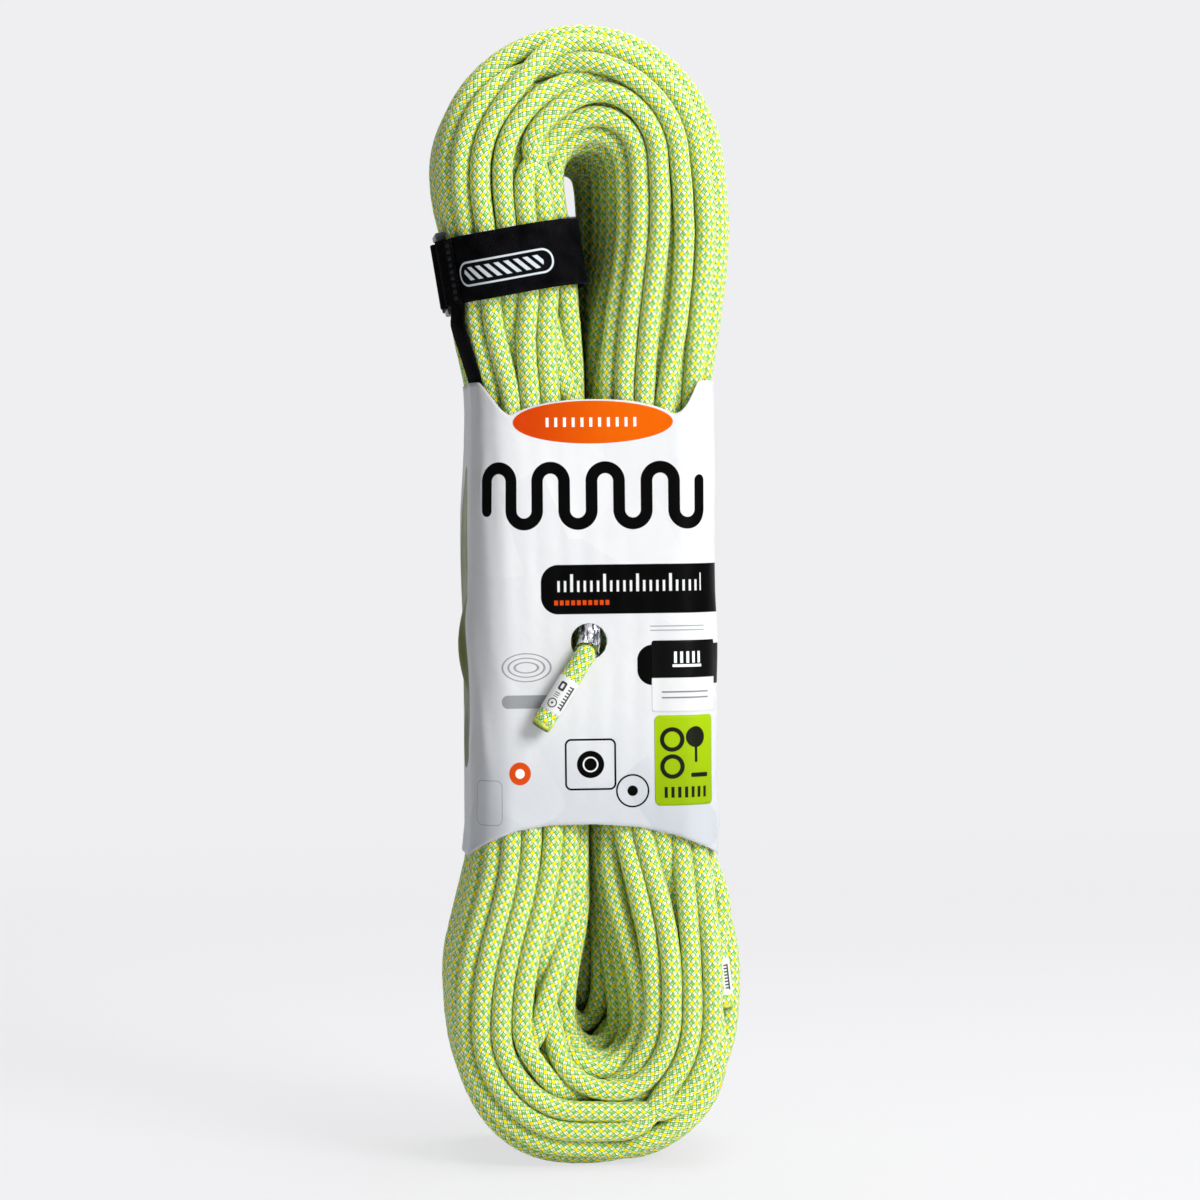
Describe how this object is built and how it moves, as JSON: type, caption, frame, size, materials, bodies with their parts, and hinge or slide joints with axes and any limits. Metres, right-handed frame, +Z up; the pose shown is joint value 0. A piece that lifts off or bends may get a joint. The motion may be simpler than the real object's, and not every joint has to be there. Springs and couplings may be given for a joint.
{
  "type": "climbing rope",
  "caption": "Dynamic climbing rope packed as a standing hank, held by a paper label sleeve at its waist and a webbing strap round one leg, with both rope ends showing.",
  "frame": {"origin": "middle of the hank's box on the floor it stands on", "axes": "+X across the hank to its right, +Y to its back, +Z up along the hank"},
  "size_m": [0.1374, 0.1175, 0.5194],
  "materials": {
    "rope_sheath": "woven nylon sheath, green and pale mint with yellow specks",
    "core_yarn": "twisted white nylon yarns",
    "fused_nylon": "melted and smoothed sheath",
    "marker_film": "white shrink film, slight gloss",
    "clear_film": "clear shrink film, glossy",
    "label_film": "satin pearl-grey printed film",
    "glue": "dried glue",
    "black_white_print": "black over white paper, satin",
    "green_print": "lime green paper, satin",
    "webbing": "black twill webbing with a sheen",
    "hook_and_loop": "black hook-and-loop tape",
    "thread": "black sewing thread",
    "buckle_plastic": "black acetal"
  },
  "bodies": {
    "hank": {"inner_turns": "rope_sheath", "outer_turns": "rope_sheath", "free_end_lead": "rope_sheath", "clear_band": "clear_film", "tail_end_sheath": "rope_sheath", "tail_end_core_yarns": "core_yarn", "tail_end_marker": "marker_film", "tail_end_fused_tip": "fused_nylon", "label_wrap": "label_film", "label_glue_strip": "glue", "length_sticker": "black_white_print", "green_sticker": "green_print", "strap_webbing": "webbing", "strap_hook_patch": "hook_and_loop", "strap_loop_patch": "hook_and_loop", "strap_stitching": "thread", "strap_tail": "webbing"},
    "free_end": {"free_end_sheath": "rope_sheath", "free_end_core_yarns": "core_yarn", "free_end_marker": "marker_film", "free_end_fused_tip": "fused_nylon"},
    "buckle": {"strap_buckle": "buckle_plastic"}
  },
  "joints": [
    {"name": "free_end_lift", "type": "hinge", "parent": "hank", "child": "free_end", "pos_m": [-0.00409, -0.0541, 0.23359], "axis": [-0.8412, 0, 0.5408], "range_deg": [0, 45]},
    {"name": "buckle_swing", "type": "hinge", "parent": "hank", "child": "buckle", "pos_m": [-0.0638, -0.033, 0.40692], "axis": [-0.1564, 0, 0.9877], "range_deg": [0, 3]}
  ]
}
